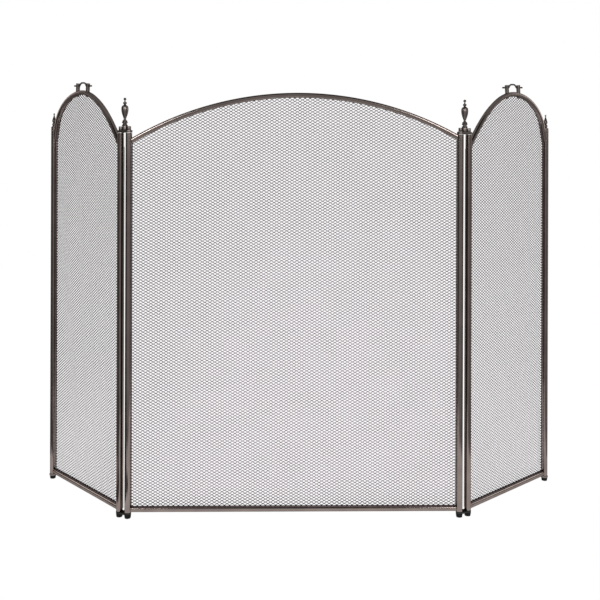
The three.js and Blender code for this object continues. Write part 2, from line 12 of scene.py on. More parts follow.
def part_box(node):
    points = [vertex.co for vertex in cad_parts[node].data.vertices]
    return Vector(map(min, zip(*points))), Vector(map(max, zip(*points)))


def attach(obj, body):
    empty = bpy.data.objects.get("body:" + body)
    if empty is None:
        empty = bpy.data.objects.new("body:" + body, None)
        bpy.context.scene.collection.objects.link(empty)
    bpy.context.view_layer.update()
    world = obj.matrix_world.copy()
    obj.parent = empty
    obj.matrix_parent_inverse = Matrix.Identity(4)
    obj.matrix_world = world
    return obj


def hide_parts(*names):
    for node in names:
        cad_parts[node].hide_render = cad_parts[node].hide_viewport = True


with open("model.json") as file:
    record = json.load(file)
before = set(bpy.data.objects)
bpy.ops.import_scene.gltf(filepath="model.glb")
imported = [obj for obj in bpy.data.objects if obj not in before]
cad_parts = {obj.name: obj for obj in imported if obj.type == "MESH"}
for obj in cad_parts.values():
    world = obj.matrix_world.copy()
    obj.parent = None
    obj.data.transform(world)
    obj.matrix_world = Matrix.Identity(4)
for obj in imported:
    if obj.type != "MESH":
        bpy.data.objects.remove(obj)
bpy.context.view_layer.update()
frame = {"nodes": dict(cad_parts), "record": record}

MM = 0.001
MERGE_DISTANCE = 1e-7
SAME_PLACE = 1e-6  # two points nearer than this are one

# --- Sizes ---------------------------------------------------------------------------------------

CENTRE_SPAN = 673  # between the posts' axes
WING_SPAN = 305.5

POST_SIZE = 12
POST_SKIN = 0.3  # thickness of the finish on a post
POST_CORNER = 4.9
RAIL_SIZE = 10
RAIL_CORNER = 4
RAIL_SETBACK = (POST_SIZE - RAIL_SIZE) / 2
FIT = 0.3  # gap between neighbouring pieces

FOOT_HEIGHT = 7
FOOT_BOTTOM_FLAT = 5.2  # radii of the flat bottom and top, inside their rounded edges
FOOT_TOP_FLAT = 6.3
FOOT_BOTTOM_EDGE = 0.9
FOOT_TOP_EDGE = 0.6
POST_BOTTOM = 12.1
HINGE_POST_TOP = 778.2
OUTER_POST_TOP = 811
BOTTOM_RAIL_HEIGHT = POST_BOTTOM + RAIL_SIZE / 2
CENTRE_CROWN_HEIGHT = 857
CENTRE_ARCH_RISE = 92
CENTRE_CROWN_OFFSET = 9
CROWN_HEIGHT = 878
CROWN_FROM_HINGE = 0.589 * WING_SPAN
WING_SPRING_HEIGHT = 749
SHOULDER_FALL = 78.4
LANDING_SLOPE = math.tan(math.radians(73))
LANDING_RUN = 12.5
ARCH_POINTS = 90  # steps along an arch

CELL_WIDTH = 10.4
CELL_HEIGHT = 6.07
STRAND_WIDTH = 1.15
STRAND_THICKNESS = 0.7
STRAND_TILT = 24
STRAND_OVERLAP = 0.5  # spare length where strands meet
CLOTH_GAP = 0.9  # from the posts' backs to the cloth's middle
CLOTH_DEPTH = POST_SIZE / 2 + CLOTH_GAP  # middle of the cloth behind the panel's middle plane
CLOTH_EDGE = 1  # how far inside the tubes' axes the cloth ends
STRIP_WIDTH = 2.8
STRIP_THICKNESS = 0.8
STRIP_UNDER_RAIL = 0.4  # how far below the bottom rail's top edge the strip ends
STRIP_PAST_POST = 0.4  # how far it shows beside the centre posts

BAR_HALF_WIDTH = 7
TOP_BAR_BOTTOM = 780
TOP_BAR_TOP = 784.5
BOTTOM_BAR_BOTTOM = FOOT_HEIGHT + FIT
BOTTOM_BAR_TOP = 11.8
BAR_EDGE = 0.7
BAR_END_STEPS = 16
CAP_THICKNESS = 1.2
PIN_HEAD_RADIUS = 4.2
PIN_HEAD_HEIGHT = 7.5
PIN_HEAD_EDGE = 0.9
PIN_HEAD_LOW_EDGE = 0.3
FLANGE_RADIUS = 7.8
FLANGE_EDGE = 1.2
FINIAL_BASE = 792.6  # top of the collar that the urn stands on

HANDLE_BEFORE_CROWN = 12
HANDLE_FROM_HINGE = CROWN_FROM_HINGE - HANDLE_BEFORE_CROWN
SEARCH_STEPS = 3000  # along an arch, to place a handle
STUD_SPACING = 46
STUD_RADIUS = 4.5
STUD_HEIGHT = 17
STUD_SINK = 1.2  # how deep a stud starts in the arch
STUD_WAIST = 0.2  # how much thinner it is below its head
STUD_HEAD = 3
STUD_EDGE = 0.9
WIRE_RADIUS = 1.75
WIRE_ROUNDING = 0.999  # the corners' share of the wire's radius, just short of a full round
WIRE_DROP = 5.5
WIRE_OVERHANG = 16
WIRE_STEPS = 40  # from the wire's middle to its end
BOW_RISE = 6.6
BOW_INSET = 3
BOW_FLATNESS = 4  # a higher power keeps more of the bow's middle flat
BOW_EASE = 1.3  # and this one softens where it leaves the studs


# --- Nodes ---------------------------------------------------------------------------------------


class Socket:
    """A socket of a node tree. Arithmetic on it adds Math nodes."""

    def __init__(self, tree, socket):
        self.tree = tree
        self.socket = socket

    def maths(self, operation, *terms):
        return self.tree.add("ShaderNodeMath", {"operation": operation}, dict(enumerate(terms)))[0]

    def __add__(self, other):
        return self.maths("ADD", self, other)

    def __radd__(self, other):
        return self.maths("ADD", other, self)

    def __sub__(self, other):
        return self.maths("SUBTRACT", self, other)

    def __rsub__(self, other):
        return self.maths("SUBTRACT", other, self)

    def __mul__(self, other):
        return self.maths("MULTIPLY", self, other)

    def __rmul__(self, other):
        return self.maths("MULTIPLY", other, self)

    def __truediv__(self, other):
        return self.maths("DIVIDE", self, other)

    def __rtruediv__(self, other):
        return self.maths("DIVIDE", other, self)


class Made:
    """A node that a Tree has added. Indexing it gives its output sockets."""

    def __init__(self, tree, node):
        self.tree = tree
        self.node = node

    def __getitem__(self, key):
        return Socket(self.tree, self.node.outputs[key])


class Tree:
    """A node tree under construction."""

    def __init__(self, node_tree):
        self.node_tree = node_tree

    def add(self, kind, settings=None, sockets=None):
        """Adds a node: first its settings, then the values or links of its input sockets."""
        node = self.node_tree.nodes.new(kind)
        for name, value in (settings or {}).items():
            if name == "stops":
                self.set_stops(node.color_ramp, value)
            else:
                setattr(node, name, value)
        for key, value in (sockets or {}).items():
            if isinstance(value, Socket):
                self.node_tree.links.new(value.socket, node.inputs[key])
            else:
                node.inputs[key].default_value = value
        return Made(self, node)

    @staticmethod
    def set_stops(ramp, stops):
        while len(ramp.elements) < len(stops):
            ramp.elements.new(0.5)
        for element, (position, colour) in zip(ramp.elements, stops):
            element.position = position
            element.color = colour


def empty_tree(holder):
    """The node tree of a new material or world, without its nodes."""
    holder.use_nodes = True
    holder.node_tree.nodes.clear()
    return Tree(holder.node_tree)


def geometry_tree(name, inputs):
    """A new geometry tree with a geometry input, the named inputs and a geometry output."""
    node_tree = bpy.data.node_groups.new(name, "GeometryNodeTree")
    node_tree.interface.new_socket("Geometry", in_out="INPUT", socket_type="NodeSocketGeometry")
    for label, kind in inputs.items():
        node_tree.interface.new_socket(label, in_out="INPUT", socket_type=kind)
    node_tree.interface.new_socket("Geometry", in_out="OUTPUT", socket_type="NodeSocketGeometry")
    tree = Tree(node_tree)
    return tree, tree.add("NodeGroupInput")


def close_tree(tree, geometry, given):
    """Ends a geometry tree in Realize Instances and Set Material."""
    real = tree.add("GeometryNodeRealizeInstances", None, {"Geometry": geometry})
    painted = tree.add("GeometryNodeSetMaterial", None,
                       {"Geometry": real[0], "Material": given["Material"]})
    tree.add("NodeGroupOutput", None, {"Geometry": painted[0]})
    return tree.node_tree


def tube_tree():
    """A rounded rectangular bar or tube skin along a path."""
    tree, given = geometry_tree("bar along a path", {
        "Width": "NodeSocketFloat",
        "Depth": "NodeSocketFloat",
        "Corner": "NodeSocketFloat",
        "Corner Facets": "NodeSocketInt",
        "Material": "NodeSocketMaterial",
    })
    path = tree.add("GeometryNodeMeshToCurve", None, {"Mesh": given["Geometry"]})
    outline = tree.add("GeometryNodeCurvePrimitiveQuadrilateral", {"mode": "RECTANGLE"},
                       {"Width": given["Width"], "Height": given["Depth"]})
    section = tree.add("GeometryNodeFilletCurve", {"mode": "POLY"}, {
        "Curve": outline[0],
        "Radius": given["Corner"],
        "Limit Radius": True,
        "Count": given["Corner Facets"],
    })
    bar = tree.add("GeometryNodeCurveToMesh", None,
                   {"Curve": path[0], "Profile Curve": section[0], "Fill Caps": True})
    return close_tree(tree, bar[0], given)


def cloth_tree():
    """Expanded metal over an upright outline: one slanting strand at each point of a grid, leaning
    right and left in turn, so that the strands meet in staggered diamonds. A strand is kept where a
    ray from ahead of it meets the outline."""
    ray_start = -0.1
    ray_length = 1
    tree, given = geometry_tree("expanded metal", {
        "Cell Width": "NodeSocketFloat",
        "Cell Height": "NodeSocketFloat",
        "Strand Length": "NodeSocketFloat",
        "Strand Width": "NodeSocketFloat",
        "Strand Thickness": "NodeSocketFloat",
        "Lean": "NodeSocketFloat",
        "Tilt": "NodeSocketFloat",
        "Columns": "NodeSocketInt",
        "Rows": "NodeSocketInt",
        "Middle Height": "NodeSocketFloat",
        "Depth": "NodeSocketFloat",
        "Material": "NodeSocketMaterial",
    })
    column_step = given["Cell Width"] * 0.5
    row_step = given["Cell Height"] * 0.5
    grid = tree.add("GeometryNodeMeshGrid", None, {
        "Size X": column_step * (given["Columns"] - 1),
        "Size Y": row_step * (given["Rows"] - 1),
        "Vertices X": given["Columns"],
        "Vertices Y": given["Rows"],
    })
    centre = tree.add("ShaderNodeCombineXYZ", None,
                      {"Y": given["Depth"], "Z": given["Middle Height"]})
    upright = tree.add("GeometryNodeTransform", None, {
        "Geometry": grid["Mesh"],
        "Translation": centre[0],
        "Rotation": (math.pi / 2, 0, 0),
    })
    place = tree.add("ShaderNodeSeparateXYZ", None, {0: tree.add("GeometryNodeInputPosition")[0]})
    column = tree.add("ShaderNodeMath", {"operation": "ROUND"}, {0: place["X"] / column_step})[0]
    row = tree.add("ShaderNodeMath", {"operation": "ROUND"}, {0: place["Z"] / row_step})[0]
    odd = tree.add("ShaderNodeMath", {"operation": "FLOORED_MODULO"}, {0: column + row, 1: 2})[0]
    ahead = tree.add("ShaderNodeCombineXYZ", None,
                     {"X": place["X"], "Y": ray_start, "Z": place["Z"]})
    inside = tree.add("GeometryNodeRaycast", None, {
        "Target Geometry": given["Geometry"],
        "Source Position": ahead[0],
        "Ray Direction": (0, 1, 0),
        "Ray Length": ray_length,
    })
    strand_size = tree.add("ShaderNodeCombineXYZ", None, {
        "X": given["Strand Length"],
        "Y": given["Strand Thickness"],
        "Z": given["Strand Width"],
    })
    strand = tree.add("GeometryNodeMeshCube", None, {"Size": strand_size[0]})
    turn = tree.add("ShaderNodeCombineXYZ", None, {
        "X": given["Tilt"],
        "Y": given["Lean"] * (odd * 2 - 1),
    })
    strands = tree.add("GeometryNodeInstanceOnPoints", None, {
        "Points": upright[0],
        "Selection": inside["Is Hit"],
        "Instance": strand["Mesh"],
        "Rotation": turn[0],
    })
    return close_tree(tree, strands[0], given)


# --- Meshes --------------------------------------------------------------------------------------


def new_mesh(name, points, faces, edges=()):
    mesh = bpy.data.meshes.new(name)
    mesh.from_pydata(points, edges, faces)
    return mesh


def new_object(name, data):
    """An object in the scene for a mesh, a lamp or the camera."""
    holder = bpy.data.objects.new(name, data)
    bpy.context.scene.collection.objects.link(holder)
    return holder


def finish_piece(name, mesh, place, material, body, nodes):
    """Puts a mesh in its place, in metres in the part's frame, and gives it to a body. It stands for
    the CAD nodes that are given."""
    mesh.transform(place)
    mesh.name = name
    if not mesh.materials:
        mesh.materials.append(material)
    piece = new_object(name, mesh)
    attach(piece, body)
    if nodes:
        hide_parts(*nodes)
    return piece


def run_tree(name, tree, points, links, values, weighted=True):
    """Runs a geometry tree on a path or face, in metres, and returns the result as a plain mesh. The
    links are pairs of points for a path and whole rings for faces."""
    is_path = len(links[0]) == 2
    start = new_mesh(name, points, [] if is_path else links, links if is_path else [])
    worker = new_object(name, start)
    modifier = worker.modifiers.new(name, "NODES")
    modifier.node_group = tree
    for item in tree.interface.items_tree:
        if item.in_out == "INPUT" and item.name in values:
            modifier[item.identifier] = values[item.name]
    if weighted:
        smooth = worker.modifiers.new("even faces", "WEIGHTED_NORMAL")
        smooth.keep_sharp = True
    bpy.context.view_layer.update()
    seen = worker.evaluated_get(bpy.context.evaluated_depsgraph_get())
    mesh = bpy.data.meshes.new_from_object(seen)
    bpy.data.objects.remove(worker)
    return mesh


def shade(mesh):
    """Smooth shading, with edges over 35 degrees kept sharp."""
    for face in mesh.polygons:
        face.use_smooth = True
    mesh.set_sharp_from_angle(angle=math.radians(35))


def outward(mesh, cuts=()):
    """Trims a closed mesh at planes, each a point and a normal to the side that goes, and turns its
    faces outwards."""
    work = bmesh.new()
    work.from_mesh(mesh)
    bmesh.ops.remove_doubles(work, verts=work.verts, dist=MERGE_DISTANCE)
    for point, normal in cuts:
        everything = work.verts[:] + work.edges[:] + work.faces[:]
        cut = bmesh.ops.bisect_plane(
            work, geom=everything, plane_co=point, plane_no=normal, clear_outer=True,
        )
        rim = [part for part in cut["geom_cut"] if isinstance(part, bmesh.types.BMEdge)]
        bmesh.ops.holes_fill(work, edges=rim)
    bmesh.ops.recalc_face_normals(work, faces=work.faces)
    work.to_mesh(mesh)
    work.free()
    shade(mesh)


def arc(x, y, radius, start, end, steps):
    """Points of an arc, with its angles in degrees."""
    angles = [math.radians(start + (end - start) * i / steps) for i in range(steps + 1)]
    return [(x + radius * math.cos(a), y + radius * math.sin(a)) for a in angles]


def flowing(points, steps=5):
    """A smooth line through the points (Catmull-Rom)."""
    line = []
    ends = [points[0], *points, points[-1]]
    for a, b, c, d in zip(ends, ends[1:], ends[2:], ends[3:]):
        for i in range(steps):
            t = i / steps
            line.append(tuple(
                0.5 * (2 * q + (r - p) * t + (2 * p - 5 * q + 4 * r - s) * t * t
                       + (3 * q - p - 3 * r + s) * t ** 3)
                for p, q, r, s in zip(a, b, c, d)
            ))
    return line + [points[-1]]


def turned(profile, sides=40):
    """A mesh turned round the Z axis from (radius, height) pairs in millimetres, listed upwards. The
    first and last lie on the axis."""
    points = []
    rings = []
    for radius, height in profile:
        if radius < SAME_PLACE:
            rings.append([len(points)])
            points.append((0, 0, height * MM))
            continue
        rings.append(range(len(points), len(points) + sides))
        for i in range(sides):
            angle = 2 * math.pi * i / sides
            x = radius * MM * math.cos(angle)
            y = radius * MM * math.sin(angle)
            points.append((x, y, height * MM))
    faces = []
    for low, high in zip(rings, rings[1:]):
        for i in range(sides):
            j = (i + 1) % sides
            below = [low[i % len(low)], low[j % len(low)]]
            above = [high[j % len(high)], high[i % len(high)]]
            face = list(dict.fromkeys(below + above))
            if len(face) > 2:
                faces.append(face)
    mesh = new_mesh("turned", points, faces)
    outward(mesh)
    return mesh


def plate(outline, bottom, top, softness):
    """A flat plate with softened edges from an outline in millimetres."""
    work = bmesh.new()
    rim = [work.verts.new((x * MM, y * MM, bottom * MM)) for x, y in outline]
    face = work.faces.new(rim)
    grown = bmesh.ops.extrude_face_region(work, geom=[face])
    raised = [part for part in grown["geom"] if isinstance(part, bmesh.types.BMVert)]
    bmesh.ops.translate(work, verts=raised, vec=(0, 0, (top - bottom) * MM))
    bmesh.ops.recalc_face_normals(work, faces=work.faces)
    edges = [edge for edge in work.edges if edge.calc_face_angle(0) > math.radians(60)]
    bmesh.ops.bevel(work, geom=edges, offset=softness * MM, segments=3, profile=0.5, affect="EDGES")
    mesh = bpy.data.meshes.new("plate")
    work.to_mesh(mesh)
    work.free()
    shade(mesh)
    return mesh


# --- Finishes ------------------------------------------------------------------------------------

CLOUD = {"Scale": 22, "Detail": 5, "Roughness": 0.6}
GRAIN = {"Scale": 900, "Detail": 3, "Roughness": 0.7}
GRAIN_IN_TONE = 0.25
CLOUD_IN_ROUGHNESS = 0.5
GRAIN_HEIGHT = 0.0002  # metres
SHINE = 0.25


def finish(name, colour_low, colour_high, metallic, roughness, bump, edge=0.2):
    """A satin finish: soft cloudy tone between two colours, cloud and fine grain in the roughness, and a
    light orange peel. The roughness is its lowest value and the one that full grain gives by itself.
    Edge is how much of the shine is left at a grazing angle."""
    material = bpy.data.materials.new(name)
    tree = empty_tree(material)
    place = tree.add("ShaderNodeTexCoord")["Object"]
    cloud = tree.add("ShaderNodeTexNoise", None, {"Vector": place, **CLOUD})["Fac"]
    grain = tree.add("ShaderNodeTexNoise", None, {"Vector": place, **GRAIN})["Fac"]
    mix = tree.add("ShaderNodeValToRGB", {"stops": [(0.35, colour_low), (0.65, colour_high)]},
                   {"Fac": cloud * (1 - GRAIN_IN_TONE) + grain * GRAIN_IN_TONE})
    low, high = roughness
    spread = high - low
    relief = tree.add("ShaderNodeBump", None,
                      {"Strength": bump, "Distance": GRAIN_HEIGHT, "Height": grain})
    surface = tree.add("ShaderNodeBsdfPrincipled", None, {
        "Base Color": mix["Color"],
        "Metallic": metallic,
        "Roughness": cloud * spread * CLOUD_IN_ROUGHNESS + grain * spread + low,
        "Specular IOR Level": SHINE,
        "Specular Tint": (edge, edge, edge, 1),
        "Normal": relief["Normal"],
    })
    tree.add("ShaderNodeOutputMaterial", None, {"Surface": surface["BSDF"]})
    return material


def grey(level, warmth=0.0):
    """A grey of a given linear level, made warmer by a small share."""
    return (level * (1 + warmth), level, level * (1 - warmth), 1)


PEWTER = finish("satin pewter tube", (0.217, 0.179, 0.164, 1), (0.28, 0.231, 0.212, 1),
                metallic=1.0, roughness=(0.1, 0.16), bump=0.04, edge=0.35)
CLOTH = finish("pewter cloth", (0.318, 0.262, 0.3, 1), (0.422, 0.35, 0.402, 1),
               metallic=0.95, roughness=(0.34, 0.46), bump=0.1)
CASTING = finish("pewter casting", (0.14, 0.12, 0.112, 1), (0.27, 0.232, 0.217, 1),
                 metallic=1.0, roughness=(0.24, 0.34), bump=0.2, edge=0.1)
# Near-black finish. On the bottom hinge bars, which are pewter castings like the top bars, it is painted
# shade. On the cloth strip it is the strip's own black, and where that shows just above the bottom rail
# it is also painted shade.
STRIP_BLACK_AND_PAINTED_SHADE = finish("blackened steel", grey(0.025, 0.03), grey(0.05, 0.02),
                   metallic=1.0, roughness=(0.35, 0.5), bump=0.3, edge=0.3)
HARDWARE = finish("turned pewter hardware", (0.135, 0.116, 0.108, 1), (0.25, 0.215, 0.201, 1),
                  metallic=1.0, roughness=(0.24, 0.34), bump=0.12, edge=0.1)
# Pale finish of the hinge posts' cap plates. It is a painted highlight that stands for the light line
# along the top edge of each cap.
PAINTED_HIGHLIGHT_CAP = finish("cap with painted highlight", (0.6, 0.57, 0.54, 1), (0.78, 0.75, 0.71, 1),
             metallic=0.7, roughness=(0.34, 0.44), bump=0.1, edge=0.6)
PLUG = finish("black steel plug", grey(0.03), grey(0.05),
              metallic=0.6, roughness=(0.5, 0.6), bump=0.1)
RUBBER = finish("black rubber", grey(0.012), grey(0.022),
                metallic=0.0, roughness=(0.62, 0.8), bump=0.35)

TUBE_TREE = tube_tree()
CLOTH_TREE = cloth_tree()


# --- Panels --------------------------------------------------------------------------------------


def node_middle(node):
    """The middle of a CAD node's box, in metres."""
    low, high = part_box(node)
    return (low + high) / 2


def panel_place(start, end, side):
    """The matrix that stands a panel, drawn in x and z with y to its back, on its post axis."""
    origin = node_middle(start)
    along = (node_middle(end) - origin) * side
    along.z = 0
    along.normalize()
    back = Vector((0, 0, 1)).cross(along)
    place = Matrix((along, back, (0, 0, 1))).transposed().to_4x4()
    place.translation = (origin.x, origin.y, 0)
    return place


def centre_arch(t):
    """Axis of the centre arch, t from 0 at the left post's axis to 1 at the right one's."""
    half = CENTRE_SPAN / 2
    radius = (half ** 2 + CENTRE_ARCH_RISE ** 2) / (2 * CENTRE_ARCH_RISE)
    first = -math.asin((half + CENTRE_CROWN_OFFSET) / radius)
    last = math.asin((half - CENTRE_CROWN_OFFSET) / radius)
    angle = first + (last - first) * t
    x = half + CENTRE_CROWN_OFFSET + radius * math.sin(angle)
    return x, CENTRE_CROWN_HEIGHT - radius * (1 - math.cos(angle))


def wing_arch(t):
    """Axis of a wing's arch, t from 0 at the hinge post's axis to 1 at the outer post's."""
    run = WING_SPAN - CROWN_FROM_HINGE - LANDING_RUN
    fall = SHOULDER_FALL / LANDING_SLOPE
    reach = run * math.sqrt((1 + math.sqrt(1 + (2 * fall / run) ** 2)) / 2)
    turn = math.asin(run / reach)
    stretch = 3 * t
    if stretch < 1:
        rise = CROWN_HEIGHT - WING_SPRING_HEIGHT
        return CROWN_FROM_HINGE * stretch, CROWN_HEIGHT - rise * (1 - stretch) ** 2
    if stretch < 2:
        angle = turn * (stretch - 1)
        x = CROWN_FROM_HINGE + reach * math.sin(angle)
        return x, CROWN_HEIGHT - SHOULDER_FALL * (1 - math.cos(angle))
    out = LANDING_RUN * (stretch - 2)
    x = CROWN_FROM_HINGE + run + out
    return x, CROWN_HEIGHT - SHOULDER_FALL * (1 - math.cos(turn)) - LANDING_SLOPE * out


class Panel:
    """One framed panel: its body and place, its span along x to one side (1 or -1), and its arch."""

    def __init__(self, name, body, start, end, side, span, arch):
        self.name = name
        self.body = body
        self.side = side
        self.span = span
        self.place = panel_place(start, end, side)
        line = [arch(i / ARCH_POINTS) for i in range(ARCH_POINTS + 1)]
        self.arch = [(side * x, z) for x, z in line]

    def piece(self, name, mesh, material, slot, *nodes, at=(0, 0, 0)):
        """Finishes a mesh that is drawn in the panel's own frame, moved by a few millimetres."""
        place = self.place @ Matrix.Translation(Vector(at) * MM)
        return finish_piece(name, mesh, place, material, self.body, nodes)

    def inset_arch(self, inset):
        """The arch axis moved inwards."""
        line = []
        for i, (x, z) in enumerate(self.arch):
            before = self.arch[max(i - 1, 0)]
            after = self.arch[min(i + 1, ARCH_POINTS)]
            along = Vector((after[0] - before[0], after[1] - before[1])).normalized()
            inward = Vector((along.y, -along.x))
            if inward.y > 0:
                inward = -inward
            line.append((x + inset * inward.x, z + inset * inward.y))
        return line

    def outline(self, inset, bottom, side_inset=None):
        """The panel's area above a height, moved in from the axes of its arch and of its posts."""
        side_inset = inset if side_inset is None else side_inset
        low, high = sorted((self.side * side_inset, self.side * (self.span - side_inset)))
        top = [(min(max(x, low), high), z) for x, z in self.inset_arch(inset)]
        return [(top[0][0], bottom), *top, (top[-1][0], bottom)]


def bar(name, points, width, depth, corner, material, facets=8):
    """A bar along points in millimetres."""
    links = [(i, i + 1) for i in range(len(points) - 1)]
    values = {
        "Width": width * MM,
        "Depth": depth * MM,
        "Corner": corner * MM,
        "Corner Facets": facets,
        "Material": material,
    }
    return run_tree(name, TUBE_TREE, [Vector(p) * MM for p in points], links, values)


def add_post(panel, x, name, top, node):
    """An upright tube with its finish on it."""
    size = POST_SIZE + 2 * POST_SKIN
    mesh = bar(name, [(0, 0, POST_BOTTOM), (0, 0, top)], size, size, POST_CORNER, PEWTER)
    outward(mesh)
    panel.piece(name, mesh, PEWTER, "frame_tube", node, at=(x, 0, 0))


def add_rails(panel, arch_node, rail_node):
    """The arched top tube, cut off at the posts, and the straight bottom one."""
    reach = POST_SIZE / 2 + FIT
    near, far = sorted((0, panel.side * panel.span))
    arch_line = [(x, RAIL_SETBACK, z) for x, z in panel.arch]
    arch = bar(f"{panel.name}_arch_tube", arch_line, RAIL_SIZE, RAIL_SIZE, RAIL_CORNER, PEWTER)
    outward(arch, [
        (((near + reach) * MM, 0, 0), (-1, 0, 0)),
        (((far - reach) * MM, 0, 0), (1, 0, 0)),
    ])
    panel.piece(f"{panel.name}_arch_tube", arch, PEWTER, "frame_tube", arch_node)
    ends = [(x, RAIL_SETBACK, BOTTOM_RAIL_HEIGHT) for x in (near + reach, far - reach)]
    rail = bar(f"{panel.name}_bottom_tube", ends, RAIL_SIZE, RAIL_SIZE, RAIL_CORNER, PEWTER)
    outward(rail)
    panel.piece(f"{panel.name}_bottom_tube", rail, PEWTER, "frame_tube", rail_node)


def add_cloth(panel, node, bands):
    """Expanded metal on the back faces of the tubes, in bands from the bottom up, under a strip. Each
    band's grid is centred on the panel's first post and on a row of strands, so that the bands join
    up. The first band stands for the whole CAD cloth."""
    bottom = BOTTOM_RAIL_HEIGHT + CLOTH_EDGE
    whole = panel.outline(CLOTH_EDGE, bottom)
    columns_each_way = 2 * math.ceil(panel.span / CELL_WIDTH) + 2
    crown = max(z for x, z in whole)
    for number in range(bands):
        low = bottom + (crown - BOTTOM_RAIL_HEIGHT) * number / bands
        high = bottom + (crown - BOTTOM_RAIL_HEIGHT) * (number + 1) / bands
        face = [Vector((x, CLOTH_DEPTH, min(max(z, low), high))) * MM for x, z in whole]
        face = [
            point for i, point in enumerate(face) if (point - face[i - 1]).length > SAME_PLACE
        ]
        middle_row = round((low + high) / CELL_HEIGHT)
        values = {
            "Cell Width": CELL_WIDTH * MM,
            "Cell Height": CELL_HEIGHT * MM,
            "Strand Length": (math.hypot(CELL_WIDTH, CELL_HEIGHT) / 2 + STRAND_OVERLAP) * MM,
            "Strand Width": STRAND_WIDTH * MM,
            "Strand Thickness": STRAND_THICKNESS * MM,
            "Lean": math.atan2(CELL_HEIGHT, CELL_WIDTH),
            "Tilt": math.radians(STRAND_TILT),
            "Columns": 2 * columns_each_way + 1,
            "Rows": 2 * math.ceil((high - low) / CELL_HEIGHT) + 3,
            "Middle Height": middle_row * CELL_HEIGHT / 2 * MM,
            "Depth": CLOTH_DEPTH * MM,
            "Material": CLOTH,
        }
        name = f"{panel.name}_cloth_{number + 1}"
        ring = list(range(len(face)))
        mesh = run_tree(name, CLOTH_TREE, face, [ring], values, weighted=False)
        panel.piece(name, mesh, CLOTH, "wire_cloth", *([node] if number == 0 else []))


def add_strip(panel, side_reach):
    """Flat black strip that holds the cloth's edge to the tubes, all round the panel's back. It is
    wider behind the bottom rail, and behind the posts it reaches inwards as far as is given. The black
    band it shows just above the bottom rail is painted shade."""
    half = STRIP_WIDTH / 2
    outer = panel.outline(-half, BOTTOM_RAIL_HEIGHT - half)
    inner = panel.outline(half, BOTTOM_RAIL_HEIGHT + RAIL_SIZE / 2 - STRIP_UNDER_RAIL, side_reach)
    tilt = math.radians(STRAND_TILT)
    front = CLOTH_DEPTH + STRAND_WIDTH / 2 * math.sin(tilt) + STRAND_THICKNESS / 2
    back = front + STRIP_THICKNESS
    loops = [(outer, front), (outer, back), (inner, back), (inner, front)]
    points = [Vector((x, y, z)) * MM for line, y in loops for x, z in line]
    count = len(outer)
    faces = []
    for a in range(len(loops)):
        b = (a + 1) % len(loops)
        for i in range(count):
            j = (i + 1) % count
            faces.append((a * count + i, a * count + j, b * count + j, b * count + i))
    mesh = new_mesh("strip", points, faces)
    outward(mesh)
    panel.piece(f"{panel.name}_cloth_strip", mesh, STRIP_BLACK_AND_PAINTED_SHADE, "frame_tube")


# --- Turned pieces -------------------------------------------------------------------------------


def rounded_disc(radius, bottom, top, edge, low_edge=None):
    """Profile of a turned disc or head with rounded rims."""
    low_edge = edge if low_edge is None else low_edge
    return [
        (0, bottom),
        *arc(radius - low_edge, bottom + low_edge, low_edge, -90, 0, 4),
        *arc(radius - edge, top - edge, edge, 0, 90, 4),
        (0, top),
    ]


def foot():
    """Rubber foot, a little wider at its top."""
    return turned([
        (0, 0),
        *arc(FOOT_BOTTOM_FLAT, FOOT_BOTTOM_EDGE, FOOT_BOTTOM_EDGE, -90, -10, 4),
        *arc(FOOT_TOP_FLAT, FOOT_HEIGHT - FOOT_TOP_EDGE, FOOT_TOP_EDGE, 0, 90, 4),
        (0, FOOT_HEIGHT),
    ])


def large_finial():
    """Urn finial of a hinge: collar, a bead, a cove, two more beads, a waist, the urn, a ring round the
    neck and a ball."""
    base = FINIAL_BASE
    seat = TOP_BAR_TOP + FIT
    collar_flat = 4.7
    collar_edge = 0.5
    return turned([
        (0, seat),
        (collar_flat, seat),
        *arc(collar_flat, seat + collar_edge, collar_edge, -90, 0, 3),
        *arc(collar_flat, base - collar_edge, collar_edge, 0, 90, 3),
        (5.1, base),
        *arc(4.8, base + 1.6, 1.3, -75, 75, 6),
        *arc(5.4, base + 4.6, 1.4, 235, 125, 5),
        *arc(4.6, base + 7.7, 1.4, -70, 70, 6),
        *arc(4.1, base + 10.6, 1.0, -60, 60, 5),
        *flowing([(3.2, base + 12.4), (2.45, base + 14), (2.6, base + 16), (3.6, base + 18.8),
                  (5.1, base + 23), (6.4, base + 28), (7.1, base + 33), (7, base + 37.2),
                  (6.3, base + 39.9), (4.7, base + 41.8), (2.9, base + 42.9), (2.1, base + 44)]),
        *arc(1.6, base + 47, 2.2, -65, 65, 8),
        *flowing([(1.5, base + 49.6), (1.2, base + 50.8), (1.2, base + 52)], 3),
        *arc(0, base + 54.9, 2.9, -65, 90, 12),
    ], 48)


def small_finial():
    """Spire finial of an outer post: seat, ball, bud and a small ball at the tip."""
    base = OUTER_POST_TOP + FIT
    return turned([
        (0, base),
        (5.0, base),
        *arc(4.7, base + 0.5, 0.5, -90, 60, 4),
        *flowing([(4.2, base + 1.2), (3.2, base + 1.8)], 3),
        *arc(0, base + 5.2, 4.5, -48, 50, 12),
        *flowing([(2.6, base + 9), (2.9, base + 9.9), (4, base + 11.5), (4.5, base + 13.4),
                  (3.8, base + 17), (2.4, base + 21.4), (1.5, base + 24.6), (1.2, base + 27)]),
        *arc(0, base + 29.4, 1.9, -50, 90, 8),
    ], 36)


